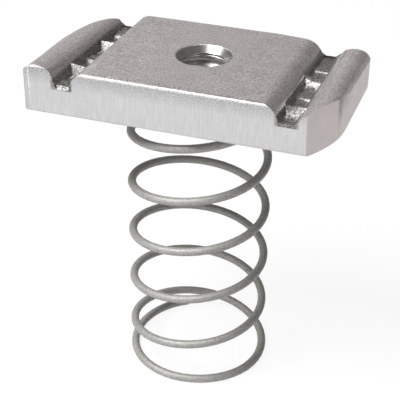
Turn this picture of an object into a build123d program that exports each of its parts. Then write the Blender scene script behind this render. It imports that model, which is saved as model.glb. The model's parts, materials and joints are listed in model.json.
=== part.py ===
from build123d import *
from math import cos, pi, radians, sin, sqrt
import os

# Strut spring nut: a zinc-plated steel channel nut, tapped through its middle, standing on
# the coil spring that is seated in its underside.  Millimetres.
# Origin: on the axis of the spring, at its foot.  +X runs along the nut's length, +Z up
# through the hole.

# ---- driving dimensions -------------------------------------------------------------
nut_length = 34.6          # fits the 36 mm inside width of a 41 mm channel
nut_width = 19.0           # passes the 22 mm slot of the channel
nut_thickness = 5.4        # at the middle of the land
free_height = 34.4         # from the foot of the spring to the nut's underside
thread_radius = 3.175      # 1/4 in, 20 threads to the inch, at its major diameter
spring_radius = 7.95       # centre line of the wire
wire_radius = 0.475
spring_pitch = 6.6

# ---- nut: section along its length ----------------------------------------------------
land_end = 11.05           # where the land's flat and the groove wall would meet
land_drop = 0.15           # the land is slightly crowned
land_round = 2.2
groove_start = 11.85       # foot of the groove wall on the land side
groove_end = 13.2          # foot of the groove wall on the lip side
groove_floor = 3.0         # height of the groove floor above the underside
groove_round = 0.35
lip_top = 5.1
lip_centre = 15.5          # highest line of the rounded lip
lip_crown = 2.4            # radius of the lip's rounded top
lip_wall = 13.95           # where the groove wall reaches the lip's top
lip_round = 0.8
end_round = 0.7            # lower edge of each end face

# ---- nut: cross section and plan ------------------------------------------------------
edge_round = 0.6           # rolled upper edges of the bar
foot_round = 0.25          # lower edges of the bar
corner_round = 0.9         # the two corners that are left nearly square
turn_radius = 16.0         # the other two are turned round, so that it can swing
turn_offset = 1.3          # the turned corners' centre, from the middle towards each end

# ---- teeth in the grooves -------------------------------------------------------------
# Ridges pressed across the grooves, low and flat or tall and sharp in turn, which bite the
# channel's lips.
tooth_pitch = 3.9
tooth_first = {1: -9.8, -1: -8.5}   # Y of the first ridge, right and left groove
low_tooth = (0.35, 1.3)    # height, and width of its flat top
tall_tooth = (1.2, 0.1)
tooth_row = (low_tooth, tall_tooth, low_tooth, tall_tooth, low_tooth)
tooth_slope = 1.5          # of the ridges' faces, rise over run
tooth_overlap = 0.8        # how far each ridge runs into the walls of the groove

# ---- hole and spring seat -------------------------------------------------------------
hole_offset = 0.4          # the tapping is a little off the middle, towards +X
hole_chamfer = 0.12
seat_depth = 1.3
seat_clearance = 0.12      # each side of the wire
stake_angles = (110, 200, 290, 350)
stake_thickness = 0.28
stake_reach = 0.5
stake_width = 1.6

# ---- spring ---------------------------------------------------------------------------
total_turns = 6.78
closed_foot = 0.617        # turns that lie flat at the foot
opening_turns = 0.2        # over which the pitch opens and closes
foot_angle = 90            # the wire's lower end is at the back
arcs_per_turn = 6          # the coil is a chain of short arcs
wire_sides = 10            # the round wire is drawn with flats of the same area
wire_across = wire_radius * sqrt(2 * pi / wire_sides / sin(2 * pi / wire_sides))
seat_gap = 0.01            # between the closed top turn and the roof of its seat


def lip_height(x):
    """Height of the lip's rounded top at a distance x from the middle."""
    return lip_top - lip_crown + sqrt(lip_crown**2 - (x - lip_centre) ** 2)


def bar_section():
    """Face of the bar's section along its length, on the XZ plane, underside at Z 0."""
    half = nut_length / 2
    land_edge = nut_thickness - land_drop
    with BuildSketch(Plane.XZ) as sketch:
        with BuildLine():
            lines = []
            for side in (1, -1):
                shoulder = (side * land_end, land_edge)
                floor_in = (side * groove_start, groove_floor)
                floor_out = (side * groove_end, groove_floor)
                lip_in = (side * lip_wall, lip_height(lip_wall))
                lip_out = (side * half, lip_height(half))
                Polyline(shoulder, floor_in, floor_out, lip_in)
                ThreePointArc(lip_in, (side * lip_centre, lip_top), lip_out)
                Line(lip_out, (side * half, 0))
            ThreePointArc((land_end, land_edge), (0, nut_thickness), (-land_end, land_edge))
            Line((half, 0), (-half, 0))
        make_face()
        for side in (1, -1):
            rounds = (
                (land_end, land_edge, land_round),
                (groove_start, groove_floor, groove_round),
                (groove_end, groove_floor, groove_round),
                (lip_wall, lip_height(lip_wall), lip_round),
                (half, 0, end_round),
            )
            for x, z, radius in rounds:
                corner = sketch.vertices().sort_by_distance((side * x, z, 0))[0]
                fillet(corner, radius)
    return sketch.sketch


def cross_section():
    """Face of the bar across its width, on the YZ plane, with its rolled edges."""
    with BuildSketch(Plane.YZ) as sketch:
        with Locations((0, nut_thickness / 2)):
            Rectangle(nut_width, nut_thickness)
        fillet(sketch.vertices().group_by(Axis.Y)[-1], edge_round)
        fillet(sketch.vertices().group_by(Axis.Y)[0], foot_round)
    return sketch.sketch


def plan_outline():
    """Face of the nut seen from above: two corners round, two nearly square."""
    with BuildSketch() as sketch:
        Rectangle(nut_length, nut_width)
        square = [v for v in sketch.vertices() if v.X * v.Y > 0]
        fillet(square, corner_round)
        for side in (1, -1):
            with BuildSketch(mode=Mode.PRIVATE) as corner:
                with Locations((side * nut_length / 4, -side * nut_width / 4)):
                    Rectangle(nut_length / 2, nut_width / 2)
                with Locations((side * turn_offset, 0)):
                    Circle(turn_radius, mode=Mode.SUBTRACT)
            add(corner.sketch, mode=Mode.SUBTRACT)
    return sketch.sketch


def tooth_rack(side):
    """Ridges across one groove, each a bar along the nut's length with sloping faces."""
    length = groove_end - groove_start + 2 * tooth_overlap
    start = side * (groove_start + groove_end) / 2 - length / 2
    root = groove_floor - 0.2
    rack = []
    for index, (height, flat) in enumerate(tooth_row):
        crest = tooth_first[side] + index * tooth_pitch
        top = groove_floor + height
        foot = flat / 2 + (top - root) / tooth_slope
        with BuildSketch(Plane.YZ.offset(start)) as sketch:
            with BuildLine():
                Polyline(
                    (crest - foot, root), (crest - flat / 2, top), (crest + flat / 2, top), (crest + foot, root),
                    close=True,
                )
            make_face()
        rack.append(extrude(sketch.sketch, length))
    return rack


def nut_blank():
    """The bar with its grooves, ends, rolled edges and teeth, underside at Z 0."""
    bar = extrude(bar_section(), nut_width / 2, both=True)
    bar += tooth_rack(1) + tooth_rack(-1)
    bar &= extrude(cross_section(), nut_length / 2, both=True)
    return bar & extrude(plan_outline(), nut_thickness * 1.2)


def spring_seat():
    """Ring groove in the underside that takes the spring's closed top turn."""
    margin = wire_radius + seat_clearance
    upright = (Align.CENTER, Align.CENTER, Align.MIN)
    seat = Cylinder(spring_radius + margin, seat_depth, align=upright)
    seat -= Cylinder(spring_radius - margin, seat_depth, align=upright)
    for angle in stake_angles:
        middle = spring_radius + margin + 0.3 - stake_reach / 2
        lip = Box(stake_reach + 0.6, stake_width, stake_thickness, align=upright)
        seat -= Rot(0, 0, angle) * Pos(middle, 0, 0) * lip
    return seat


def tapped_hole():
    """Through hole at the thread's major diameter, with both mouths broken."""
    with BuildSketch(Plane.XZ) as sketch:
        with BuildLine():
            Polyline(
                (0, -1), (thread_radius + hole_chamfer + 1, -1), (thread_radius, hole_chamfer),
                (thread_radius, nut_thickness - hole_chamfer),
                (thread_radius + hole_chamfer + 1, nut_thickness + 1), (0, nut_thickness + 1),
                close=True,
            )
        make_face()
    return Pos(hole_offset, 0, 0) * revolve(sketch.sketch, Axis.Z)


def ramp(turns):
    """Pitches gained, the given number of turns after the coil begins to open."""
    if turns <= 0:
        return 0
    if turns < opening_turns:
        return turns**2 / (2 * opening_turns)
    return turns - opening_turns / 2


def coil_point(turn, open_turns):
    """Point on the wire's centre line, counted in turns up from its lower end."""
    angle = radians(foot_angle) + 2 * pi * turn
    pitches = ramp(turn - closed_foot) - ramp(turn - closed_foot - open_turns)
    height = wire_across + spring_pitch * pitches
    return (spring_radius * cos(angle), spring_radius * sin(angle), height)


def coil_spring():
    """Right-handed wire spring: closed foot, open turns, closed top turn in the seat."""
    top = free_height + seat_depth - seat_gap - wire_across
    open_turns = (top - wire_across) / spring_pitch
    arcs = round(total_turns * arcs_per_turn)
    path = []
    for arc in range(arcs):
        turns = [total_turns * (arc + part) / arcs for part in (0, 0.5, 1)]
        path.append(ThreePointArc(*(coil_point(turn, open_turns) for turn in turns)))
    centre_line = Wire(path)
    section = Plane(origin=centre_line @ 0, z_dir=centre_line % 0)
    spring = sweep(section * RegularPolygon(wire_across, wire_sides), path=centre_line)
    wire_volume = pi * wire_radius**2 * centre_line.length
    print("wire length", round(centre_line.length, 1))
    print("volume over section times length", round(spring.volume / wire_volume, 4))
    return spring


nut = nut_blank() - spring_seat() - tapped_hole()
nut = Pos(0, 0, free_height) * nut
spring = coil_spring()

os.makedirs("parts", exist_ok=True)
export_step(nut, "parts/nut_body.step")
export_step(spring, "parts/coil_spring.step")
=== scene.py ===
import json
from math import pi, radians

import bmesh
import bpy
from mathutils import Euler, Matrix, Vector


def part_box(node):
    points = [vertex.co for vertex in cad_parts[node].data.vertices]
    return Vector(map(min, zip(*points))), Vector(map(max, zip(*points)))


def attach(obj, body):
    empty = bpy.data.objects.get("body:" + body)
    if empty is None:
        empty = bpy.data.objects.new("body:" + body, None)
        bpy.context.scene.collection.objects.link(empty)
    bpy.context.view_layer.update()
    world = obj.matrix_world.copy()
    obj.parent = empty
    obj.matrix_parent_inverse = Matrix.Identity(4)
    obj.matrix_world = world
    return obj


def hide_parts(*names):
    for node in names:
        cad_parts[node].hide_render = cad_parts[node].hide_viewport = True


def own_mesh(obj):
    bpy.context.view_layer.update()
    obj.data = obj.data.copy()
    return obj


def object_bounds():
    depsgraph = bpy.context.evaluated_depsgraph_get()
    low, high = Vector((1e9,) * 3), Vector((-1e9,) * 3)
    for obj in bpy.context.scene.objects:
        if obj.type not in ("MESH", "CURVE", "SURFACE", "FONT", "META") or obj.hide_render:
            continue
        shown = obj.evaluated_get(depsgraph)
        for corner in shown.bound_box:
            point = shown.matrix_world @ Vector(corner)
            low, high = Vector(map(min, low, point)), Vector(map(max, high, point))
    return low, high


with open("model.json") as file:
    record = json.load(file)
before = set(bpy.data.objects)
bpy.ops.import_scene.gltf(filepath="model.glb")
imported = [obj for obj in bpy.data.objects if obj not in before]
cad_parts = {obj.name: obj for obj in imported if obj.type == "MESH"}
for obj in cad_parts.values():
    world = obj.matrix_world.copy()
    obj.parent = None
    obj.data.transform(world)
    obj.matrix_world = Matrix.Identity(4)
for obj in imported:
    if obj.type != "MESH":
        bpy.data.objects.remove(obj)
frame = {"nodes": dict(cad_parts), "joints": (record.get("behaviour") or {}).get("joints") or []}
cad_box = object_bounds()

# ---- coil spring ---------------------------------------------------------------------
# One length of hard-drawn steel wire, zinc plated, wound right-handed on a mandrel.
# Its lowest turn is closed to stand on, with the cut end sprung up a little; its top turn
# is closed too and is staked into a ring groove in the nut's underside.
MM = 0.001
COIL_RADIUS = 7.95 * MM
WIRE_RADIUS = 0.49 * MM
COIL_PITCH = 6.6 * MM
TOTAL_TURNS = 6.78
CLOSED_FOOT = 0.65
OPENING_TURNS = 0.2
FOOT_START = 0.08
TIP_RISE = 0.6 * MM
TIP_TURNS = 0.4
FOOT_WIDER = 0.3 * MM
FOOT_WIDE_TO = 8 * MM
WIRE_SIDES = 20
STEPS_PER_TURN = 48

spring_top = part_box("coil_spring")[1][2]
coil_top = spring_top - WIRE_RADIUS
open_turns = (coil_top - WIRE_RADIUS) / COIL_PITCH


def opened(turns):
    """Pitches gained after the coil has been opening for this many turns."""
    if turns <= 0:
        return 0
    if turns < OPENING_TURNS:
        return turns ** 2 / (2 * OPENING_TURNS)
    return turns - OPENING_TURNS / 2


def coil_height(turn):
    """Height of the wire's middle, counted in turns up from its lower end."""
    pitches = opened(turn - CLOSED_FOOT) - opened(turn - CLOSED_FOOT - open_turns)
    tip = max(0, 1 - turn / TIP_TURNS) ** 2
    return WIRE_RADIUS + COIL_PITCH * pitches + TIP_RISE * tip


def new_piece(name, mesh_maker, smooth_angle=None):
    """A mesh object at the origin, linked to the scene."""
    maker = bmesh.new()
    mesh_maker(maker)
    mesh = bpy.data.meshes.new(name)
    maker.to_mesh(mesh)
    maker.free()
    piece = bpy.data.objects.new(name, mesh)
    bpy.context.scene.collection.objects.link(piece)
    mesh.shade_smooth()
    if smooth_angle is not None:
        mesh.set_sharp_from_angle(angle=smooth_angle)
    return piece


def wind_coil(maker):
    """Winds the wire step by step, each step a turn about the axis and a rise."""
    start = (Matrix.Rotation(2 * pi * FOOT_START, 4, "Z")
             @ Matrix.Translation((0, COIL_RADIUS, coil_height(FOOT_START)))
             @ Matrix.Rotation(pi / 2, 4, "Y"))
    ring = bmesh.ops.create_circle(maker, segments=WIRE_SIDES, radius=WIRE_RADIUS, matrix=start)
    verts = ring["verts"]
    edges = list({edge for vert in verts for edge in vert.link_edges})
    ends = [list(edges)]
    steps = round((TOTAL_TURNS - FOOT_START) * STEPS_PER_TURN)
    stride = (TOTAL_TURNS - FOOT_START) / steps
    for step in range(steps):
        here = coil_height(FOOT_START + stride * step)
        there = coil_height(FOOT_START + stride * (step + 1))
        wound = bmesh.ops.spin(maker, geom=verts + edges, cent=(0, 0, 0), axis=(0, 0, 1),
                               angle=2 * pi * stride, steps=1, dvec=(0, 0, there - here))
        verts = [item for item in wound["geom_last"] if isinstance(item, bmesh.types.BMVert)]
        edges = [item for item in wound["geom_last"] if isinstance(item, bmesh.types.BMEdge)]
    # the lower turns are sprung out on one side, most at the foot
    for vert in maker.verts:
        wide = max(0, 1 - vert.co.z / FOOT_WIDE_TO) * max(0, vert.co.x / COIL_RADIUS)
        vert.co.x += FOOT_WIDER * wide
    ends.append(edges)
    for rim in ends:
        bmesh.ops.contextual_create(maker, geom=rim)
    bmesh.ops.recalc_face_normals(maker, faces=maker.faces)


spring = new_piece("spring_wire", wind_coil, radians(40))
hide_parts("coil_spring")
if frame["joints"]:
    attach(spring, "spring")
    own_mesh(spring)
else:
    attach(spring, "root")


def node_group(name, inputs, outputs):
    """An empty shader group with its named sockets, and its two end nodes."""
    group = bpy.data.node_groups.new(name, "ShaderNodeTree")
    for socket, kind, value in inputs:
        made = group.interface.new_socket(socket, in_out="INPUT", socket_type=kind)
        if value is not None:
            made.default_value = value
    for socket, kind in outputs:
        group.interface.new_socket(socket, in_out="OUTPUT", socket_type=kind)
    return group, group.nodes.new("NodeGroupInput"), group.nodes.new("NodeGroupOutput")


def make_zinc_speckle():
    """Fine crystals of the zinc plate: a light and dark grain, and the bump it gives."""
    group, given, result = node_group(
        "zinc_speckle",
        [("Vector", "NodeSocketVector", None), ("Grain", "NodeSocketFloat", 5000.0),
         ("Height", "NodeSocketFloat", 0.00001)],
        [("Grain", "NodeSocketFloat"), ("Cloud", "NodeSocketFloat"),
         ("Normal", "NodeSocketVector")])
    nodes, links = group.nodes, group.links
    fine = nodes.new("ShaderNodeTexNoise")
    fine.inputs["Detail"].default_value = 4
    fine.inputs["Roughness"].default_value = 0.75
    cloud = nodes.new("ShaderNodeTexNoise")
    cloud.inputs["Scale"].default_value = 500
    cloud.inputs["Detail"].default_value = 3
    bump = nodes.new("ShaderNodeBump")
    bump.inputs["Strength"].default_value = 1
    links.new(given.outputs["Vector"], fine.inputs["Vector"])
    links.new(given.outputs["Grain"], fine.inputs["Scale"])
    links.new(given.outputs["Vector"], cloud.inputs["Vector"])
    links.new(given.outputs["Height"], bump.inputs["Distance"])
    links.new(fine.outputs["Fac"], bump.inputs["Height"])
    links.new(fine.outputs["Fac"], result.inputs["Grain"])
    links.new(cloud.outputs["Fac"], result.inputs["Cloud"])
    links.new(bump.outputs["Normal"], result.inputs["Normal"])
    return group


zinc_speckle = make_zinc_speckle()


def mixed_colour(nodes, links, factor, low, high):
    """Mix node from one colour to another, driven by a socket."""
    mix = nodes.new("ShaderNodeMix")
    mix.data_type = "RGBA"
    links.new(factor, mix.inputs["Factor"])
    for socket, value in (("A", low), ("B", high)):
        target = [item for item in mix.inputs if item.name == socket and item.type == "RGBA"][0]
        if isinstance(value, tuple):
            target.default_value = value
        else:
            links.new(value, target)
    return [item for item in mix.outputs if item.type == "RGBA"][0]


def spread(nodes, links, source, low, high, out_low=0.0, out_high=1.0):
    """Map Range node, clamped."""
    node = nodes.new("ShaderNodeMapRange")
    links.new(source, node.inputs["Value"])
    node.inputs["From Min"].default_value = low
    node.inputs["From Max"].default_value = high
    node.inputs["To Min"].default_value = out_low
    node.inputs["To Max"].default_value = out_high
    return node.outputs["Result"]


def multiplied(nodes, links, first, *others):
    """Product of several sockets."""
    for other in others:
        node = nodes.new("ShaderNodeMath")
        node.operation = "MULTIPLY"
        links.new(first, node.inputs[0])
        links.new(other, node.inputs[1])
        first = node.outputs[0]
    return first


def new_metal(name, grain, height):
    """A metal material with the zinc grain placed in it; returns what it needs."""
    material = bpy.data.materials.new(name)
    material.use_nodes = True
    nodes, links = material.node_tree.nodes, material.node_tree.links
    shader = nodes["Principled BSDF"]
    shader.inputs["Metallic"].default_value = 1
    place = nodes.new("ShaderNodeTexCoord")
    speckle = nodes.new("ShaderNodeGroup")
    speckle.node_tree = zinc_speckle
    speckle.inputs["Grain"].default_value = grain
    speckle.inputs["Height"].default_value = height
    links.new(place.outputs["Object"], speckle.inputs["Vector"])
    links.new(speckle.outputs["Normal"], shader.inputs["Normal"])
    return material, nodes, links, shader, speckle


def make_wire_metal():
    """Drawn wire under a thin plate: dull grey, finely mottled."""
    material, nodes, links, shader, speckle = new_metal("spring_wire_plate", 3500, 0.000012)
    shader.inputs["Metallic"].default_value = 0.35
    tone = spread(nodes, links, speckle.outputs["Grain"], 0.35, 0.65)
    colour = mixed_colour(nodes, links, tone, (0.235, 0.231, 0.216, 1), (0.345, 0.341, 0.33, 1))
    links.new(colour, shader.inputs["Base Color"])
    links.new(spread(nodes, links, speckle.outputs["Cloud"], 0.3, 0.7, 0.52, 0.64),
              shader.inputs["Roughness"])
    return material


spring.data.materials.append(make_wire_metal())

# ---- nut -------------------------------------------------------------------------------
# A short length of hot-rolled grooved bar, sheared to size, tapped through and zinc
# plated.  Two opposite corners are turned round so that it can swing into the channel,
# and ridges pressed across both grooves bite the channel's lips.
nut_node = frame["nodes"]["nut_body"]
nut_low, nut_high = (Vector(corner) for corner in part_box("nut_body"))


def make_shear_streaks():
    """Marks of shearing on the upright sides: fine upright streaks and a torn upper band."""
    group, given, result = node_group(
        "shear_streaks",
        [("Vector", "NodeSocketVector", None), ("Edge height", "NodeSocketFloat", 0.039),
         ("Band", "NodeSocketFloat", 0.001)],
        [("Streak", "NodeSocketFloat"), ("Torn", "NodeSocketFloat")])
    nodes, links = group.nodes, group.links
    drawn_out = nodes.new("ShaderNodeVectorMath")
    drawn_out.operation = "MULTIPLY"
    drawn_out.inputs[1].default_value = (1, 1, 0.12)
    streak = nodes.new("ShaderNodeTexNoise")
    streak.inputs["Scale"].default_value = 4200
    streak.inputs["Detail"].default_value = 3
    torn = nodes.new("ShaderNodeTexNoise")
    torn.inputs["Scale"].default_value = 8000
    torn.inputs["Detail"].default_value = 4
    torn.inputs["Roughness"].default_value = 0.7
    parts = nodes.new("ShaderNodeSeparateXYZ")
    below = nodes.new("ShaderNodeMath")
    below.operation = "SUBTRACT"
    ratio = nodes.new("ShaderNodeMath")
    ratio.operation = "DIVIDE"
    fade = nodes.new("ShaderNodeMath")
    fade.operation = "SUBTRACT"
    fade.use_clamp = True
    fade.inputs[0].default_value = 1
    share = nodes.new("ShaderNodeMath")
    share.operation = "MULTIPLY"
    links.new(given.outputs["Vector"], drawn_out.inputs[0])
    links.new(drawn_out.outputs[0], streak.inputs["Vector"])
    links.new(given.outputs["Vector"], torn.inputs["Vector"])
    links.new(given.outputs["Vector"], parts.inputs[0])
    links.new(given.outputs["Edge height"], below.inputs[0])
    links.new(parts.outputs["Z"], below.inputs[1])
    links.new(below.outputs[0], ratio.inputs[0])
    links.new(given.outputs["Band"], ratio.inputs[1])
    links.new(ratio.outputs[0], fade.inputs[1])
    links.new(fade.outputs[0], share.inputs[0])
    links.new(spread(nodes, links, torn.outputs["Fac"], 0.45, 0.58), share.inputs[1])
    links.new(streak.outputs["Fac"], result.inputs["Streak"])
    links.new(share.outputs[0], result.inputs["Torn"])
    return group


shear_streaks = make_shear_streaks()


def make_nut_metal():
    """Zinc plate: grey and finely speckled, brighter and streaked on the sheared sides, with painted
    shade darkening the grooves.
    """
    material, nodes, links, shader, speckle = new_metal("zinc_plate", 5200, 0.00003)
    place = [node for node in nodes if node.type == "TEX_COORD"][0]
    sheared = nodes.new("ShaderNodeGroup")
    sheared.node_tree = shear_streaks
    sheared.inputs["Edge height"].default_value = nut_high.z - 0.2 * MM
    sheared.inputs["Band"].default_value = 2.0 * MM
    links.new(place.outputs["Object"], sheared.inputs["Vector"])
    facing = nodes.new("ShaderNodeSeparateXYZ")
    links.new(place.outputs["Normal"], facing.inputs[0])
    upward = spread(nodes, links, facing.outputs["Z"], 0.1, 0.35)
    grain = spread(nodes, links, speckle.outputs["Grain"], 0.38, 0.62)
    flat = mixed_colour(nodes, links, grain, (0.40, 0.385, 0.38, 1), (0.80, 0.775, 0.77, 1))
    streak = spread(nodes, links, sheared.outputs["Streak"], 0.3, 0.7)
    side = mixed_colour(nodes, links, streak, (0.59, 0.59, 0.60, 1), (0.68, 0.68, 0.69, 1))
    side = mixed_colour(nodes, links, spread(nodes, links, grain, 0, 1, 0, 0.25), side,
                        (0.50, 0.50, 0.505, 1))
    side = mixed_colour(nodes, links, sheared.outputs["Torn"], side, (0.20, 0.20, 0.20, 1))
    endwise = nodes.new("ShaderNodeMath")
    endwise.operation = "ABSOLUTE"
    links.new(facing.outputs["X"], endwise.inputs[0])
    side = mixed_colour(nodes, links, spread(nodes, links, endwise.outputs[0], 0.2, 0.6), side,
                        (0.63, 0.585, 0.58, 1))
    colour = mixed_colour(nodes, links, upward, side, flat)
    across = nodes.new("ShaderNodeSeparateXYZ")
    links.new(place.outputs["Object"], across.inputs[0])
    outward = nodes.new("ShaderNodeMath")
    outward.operation = "ABSOLUTE"
    links.new(across.outputs["X"], outward.inputs[0])
    # Painted shade: the base colour is made darker in the grooves between the land and the lips,
    # mottled by the grain.
    past_land = spread(nodes, links, outward.outputs[0], 11.2 * MM, 11.5 * MM)
    before_lip = spread(nodes, links, outward.outputs[0], 13.6 * MM, 14.0 * MM, 1, 0)
    low = spread(nodes, links, across.outputs["Z"], nut_low.z + 4.0 * MM, nut_low.z + 4.4 * MM, 1, 0)
    high = spread(nodes, links, across.outputs["Z"], nut_low.z + 2.9 * MM, nut_low.z + 3.0 * MM)
    in_groove = multiplied(nodes, links, past_land, before_lip, low, high)
    shade = spread(nodes, links, speckle.outputs["Grain"], 0.42, 0.60)
    painted_groove_shade = mixed_colour(nodes, links, shade, (0.12, 0.115, 0.11, 1), (0.44, 0.43, 0.42, 1))
    links.new(mixed_colour(nodes, links, in_groove, colour, painted_groove_shade), shader.inputs["Base Color"])
    links.new(spread(nodes, links, speckle.outputs["Cloud"], 0.3, 0.7, 0.50, 0.58),
              shader.inputs["Roughness"])
    return material


zinc_plate = make_nut_metal()


# Places on the bar in millimetres: across from its middle, up from its underside.
HALF_WIDTH = 9.5
GROOVE_INNER, GROOVE_OUTER = 11.3, 14
GROOVE_BOTTOM, GROOVE_FLOOR = 2.5, 3.4
TOOTH_CREST = 4.2
LIP_FOOT, LIP_WALL_TOP, LIP_CROWN = 13.2, 13.9, 15
CORNER_X, CORNER_Y = 16.4, 8.6
# How far the rolling and shearing leave each place from true, in millimetres.
CREST_DROP, CREST_LEAN = 0.3, 0.2
CREST_SLANT_IN, CREST_SLANT_OUT = 0.11, -0.15
RUN_OUT = 0.5
LEFT_RISE, LEFT_FALL, LEFT_EDGE_FALL = 0.46, 0.95, 0.3
RIGHT_FALL, SHOULDER_FALL = 0.4, 0.3
CORNER_BULGE = 0.4
NEAR_RIGHT_REACH, FAR_LEFT_TURN = 0.6, 0.55


def ramp_up(value, low, high):
    """0 below low, 1 above high, straight between."""
    return min(1, max(0, (value - low) / (high - low)))


def copy_nut(maker):
    """The nut's own solid, with its flats joined up and the unevenness of a rolled bar."""
    maker.from_mesh(nut_node.data)
    bmesh.ops.remove_doubles(maker, verts=maker.verts, dist=0.002 * MM)
    bmesh.ops.dissolve_limit(maker, angle_limit=radians(0.4), verts=maker.verts,
                             edges=maker.edges, use_dissolve_boundaries=False,
                             delimit={"NORMAL"})
    for vert in maker.verts:
        x, y, z = vert.co.x / MM, vert.co.y / MM, (vert.co.z - nut_low.z) / MM
        left = ramp_up(-x, LIP_FOOT, LIP_WALL_TOP)
        right = ramp_up(x, LIP_FOOT, LIP_WALL_TOP)
        rise = ramp_up(z, 1, 4.5)
        along = (y + HALF_WIDTH) / (2 * HALF_WIDTH)
        in_groove = GROOVE_INNER < abs(x) < GROOVE_OUTER and z > GROOVE_BOTTOM
        # the crests of the tall teeth are pressed a little lower and forward
        if in_groove and abs(z - TOOTH_CREST) < 0.02:
            slant = CREST_SLANT_IN if abs(x) < 12.5 else CREST_SLANT_OUT
            x, y, z = x + (slant if x > 0 else -slant), y - CREST_LEAN, z - CREST_DROP
        # both grooves run out upwards at the back
        if in_groove and z < GROOVE_FLOOR:
            z += RUN_OUT * ramp_up(y, 6, HALF_WIDTH)
        # the left lip stands higher at the front and falls to the back; the right one falls
        z += rise * left * (LEFT_RISE - LEFT_FALL * along ** 2
                            - LEFT_EDGE_FALL * ramp_up(-x, 16.3, 17.3) * ramp_up(-y, 6, 9))
        z -= rise * right * RIGHT_FALL * along
        # so does the land's right shoulder
        z -= SHOULDER_FALL * ramp_up(z, 3, TOOTH_CREST) * along * ramp_up(x, 8.5, 11) * (1 - right)
        # the near left corner is almost sharp
        if x < -CORNER_X and y < -CORNER_Y:
            out_x, out_y = x + CORNER_X, y + CORNER_Y
            bulge = 1 + CORNER_BULGE * abs(out_x * out_y)
            x, y = -CORNER_X + out_x * bulge, max(-HALF_WIDTH, -CORNER_Y + out_y * bulge)
        # the right end reaches out at the front, and the left end is drawn in at the back
        x += ramp_up(x, 13.3, 14.1) * NEAR_RIGHT_REACH * ramp_up(-y, 0, HALF_WIDTH)
        x += ramp_up(-x, LIP_FOOT, LIP_CROWN) * FAR_LEFT_TURN * ramp_up(y, 1, 7)
        vert.co = (x * MM, y * MM, z * MM + nut_low.z)


nut = new_piece("nut_plated", copy_nut, radians(30))
flats_first = nut.modifiers.new("flats_first", "WEIGHTED_NORMAL")
flats_first.keep_sharp = True
flats_first.weight = 80
nut.data.materials.clear()
nut.data.materials.append(zinc_plate)
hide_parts("nut_body")
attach(nut, "nut" if frame["joints"] else "root")

# ---- thread ------------------------------------------------------------------------------
# The tapped thread, a quarter inch across with twenty threads to the inch.  It is cut in
# the same steel as the nut and thinly plated, below a countersunk mouth.
HOLE_OFFSET = 0.4 * MM
THREAD_RADIUS = 3.175 * MM
THREAD_PITCH = 1.27 * MM
MINOR_RADIUS = 2.6 * MM
SINK_DEPTH = 0.95 * MM
CREST_WIDTH = 0.16 * MM
ROOT_WIDTH = 1.05 * MM
THREAD_STEPS = 40
MOUTH_DEPTH = 0.22 * MM


def cut_thread(maker):
    """A ridge spun up the hole's wall, trimmed at both ends, and the countersink above it."""
    sink_foot = nut_high.z - SINK_DEPTH
    turns = (nut_high.z - nut_low.z) / THREAD_PITCH + 2
    start = nut_low.z - THREAD_PITCH
    corners = [
        (THREAD_RADIUS + 0.03 * MM, 0, start - ROOT_WIDTH / 2),
        (MINOR_RADIUS, 0, start - CREST_WIDTH / 2),
        (MINOR_RADIUS, 0, start + CREST_WIDTH / 2),
        (THREAD_RADIUS + 0.03 * MM, 0, start + ROOT_WIDTH / 2),
    ]
    verts = [maker.verts.new(corner) for corner in corners]
    edges = [maker.edges.new((verts[n], verts[(n + 1) % 4])) for n in range(4)]
    steps = round(turns * THREAD_STEPS)
    bmesh.ops.spin(maker, geom=verts + edges, cent=(0, 0, 0), axis=(0, 0, 1),
                   angle=2 * pi * turns, steps=steps, dvec=(0, 0, THREAD_PITCH * turns / steps))
    for height, side in ((sink_foot, 1), (nut_low.z + MOUTH_DEPTH, -1)):
        bmesh.ops.bisect_plane(maker, geom=maker.verts[:] + maker.edges[:] + maker.faces[:],
                               plane_co=(0, 0, height), plane_no=(0, 0, side),
                               clear_outer=True)
        bmesh.ops.holes_fill(maker, edges=[e for e in maker.edges if e.is_boundary], sides=0)
    ring = [
        (THREAD_RADIUS + 0.03 * MM, 0, nut_high.z - 0.1 * MM),
        (MINOR_RADIUS, 0, sink_foot + 0.08 * MM),
        (MINOR_RADIUS, 0, sink_foot),
        (THREAD_RADIUS + 0.03 * MM, 0, sink_foot),
    ]
    verts = [maker.verts.new(corner) for corner in ring]
    edges = [maker.edges.new((verts[n], verts[(n + 1) % 4])) for n in range(4)]
    bmesh.ops.spin(maker, geom=verts + edges, cent=(0, 0, 0), axis=(0, 0, 1),
                   angle=2 * pi, steps=2 * THREAD_STEPS, use_merge=True)
    bmesh.ops.recalc_face_normals(maker, faces=maker.faces)
    bmesh.ops.translate(maker, verts=maker.verts, vec=(HOLE_OFFSET, 0, 0))


def make_thread_metal():
    """Cut steel under thin plate: brighter and smoother than the flats."""
    material, nodes, links, shader, speckle = new_metal("tapped_steel", 1500, 0.000004)
    tone = spread(nodes, links, speckle.outputs["Cloud"], 0.35, 0.65)
    colour = mixed_colour(nodes, links, tone, (0.42, 0.43, 0.40, 1), (0.66, 0.66, 0.64, 1))
    links.new(colour, shader.inputs["Base Color"])
    shader.inputs["Roughness"].default_value = 0.3
    return material


thread = new_piece("nut_thread", cut_thread, radians(20))
thread.data.materials.append(make_thread_metal())
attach(thread, "nut" if frame["joints"] else "root")

# ---- floor -----------------------------------------------------------------------------
# A plain white table top under the part.  It is not part of the object.
FLOOR_HALF = 3.0


def lay_floor(maker):
    """One flat square."""
    bmesh.ops.create_grid(maker, x_segments=1, y_segments=1, size=FLOOR_HALF)


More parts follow.
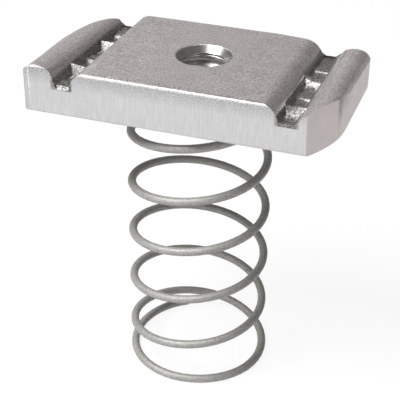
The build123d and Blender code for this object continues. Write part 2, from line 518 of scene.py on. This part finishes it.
def make_floor_white():
    """Matt white that stays near white in view and in reflections, and takes a shadow."""
    material = bpy.data.materials.new("floor_white")
    material.use_nodes = True
    nodes, links = material.node_tree.nodes, material.node_tree.links
    matt = nodes["Principled BSDF"]
    matt.inputs["Base Color"].default_value = (0.86, 0.86, 0.86, 1)
    matt.inputs["Roughness"].default_value = 1
    glow = nodes.new("ShaderNodeEmission")
    glow.inputs["Color"].default_value = (1, 1, 1, 1)
    path = nodes.new("ShaderNodeLightPath")
    seen = nodes.new("ShaderNodeMath")
    seen.operation = "MAXIMUM"
    share = nodes.new("ShaderNodeMath")
    share.operation = "MULTIPLY"
    share.inputs[1].default_value = 0.9
    mix = nodes.new("ShaderNodeMixShader")
    links.new(path.outputs["Is Camera Ray"], seen.inputs[0])
    links.new(path.outputs["Is Glossy Ray"], seen.inputs[1])
    links.new(seen.outputs[0], share.inputs[0])
    links.new(share.outputs[0], mix.inputs[0])
    links.new(matt.outputs[0], mix.inputs[1])
    links.new(glow.outputs[0], mix.inputs[2])
    links.new(mix.outputs[0], nodes["Material Output"].inputs["Surface"])
    return material


floor = new_piece("floor", lay_floor)
floor.data.materials.append(make_floor_white())

# ---- light -------------------------------------------------------------------------------
# Three soft boxes and an even surround: the main one high at the front left, a low one
# at the front and a weak one behind.
middle = Vector((0, 0, cad_box[1][2] * 0.6))


def soft_box(name, azimuth, elevation, distance, size, power):
    """An area lamp that faces the middle of the part."""
    lamp = bpy.data.lights.new(name, "AREA")
    lamp.shape = "DISK"
    lamp.size = size
    lamp.energy = power
    holder = bpy.data.objects.new(name, lamp)
    away = Euler((pi / 2 - radians(elevation), 0, radians(azimuth))).to_matrix() @ Vector((0, 0, 1))
    holder.location = middle + away * distance
    holder.rotation_euler = away.to_track_quat("Z", "Y").to_euler()
    bpy.context.scene.collection.objects.link(holder)


soft_box("key", -45, 57, 0.55, 0.30, 4.7)
soft_box("front", -18, 12, 0.7, 0.5, 1.3)
soft_box("back", 199, 32, 0.7, 0.55, 0.28)

world = bpy.data.worlds.new("surround")
world.use_nodes = True
world.node_tree.nodes["Background"].inputs["Color"].default_value = (0.60, 0.55, 0.53, 1)
world.node_tree.nodes["Background"].inputs["Strength"].default_value = 0.34
bpy.context.scene.world = world

# ---- camera ------------------------------------------------------------------------------
# A long lens from the front, a little to the right and above.
VIEW_AZIMUTH = radians(19.38)
VIEW_ELEVATION = radians(30.16)
VIEW_ROLL = radians(0.67)
LENS_MM = 98.4
camera_data = bpy.data.cameras.new("camera")
camera_data.lens = LENS_MM
camera_data.sensor_width = 36
camera_data.clip_start = 0.01
camera = bpy.data.objects.new("camera", camera_data)
camera.location = Vector((37.48, -106.27, 52.23)) * MM + Vector((0, 0, nut_low.z))
facing = Euler((pi / 2 - VIEW_ELEVATION, 0, VIEW_AZIMUTH)).to_matrix()
camera.rotation_euler = (facing @ Matrix.Rotation(VIEW_ROLL, 3, "Z")).to_euler()
bpy.context.scene.collection.objects.link(camera)
bpy.context.scene.camera = camera
bpy.context.scene.view_settings.view_transform = "Standard"
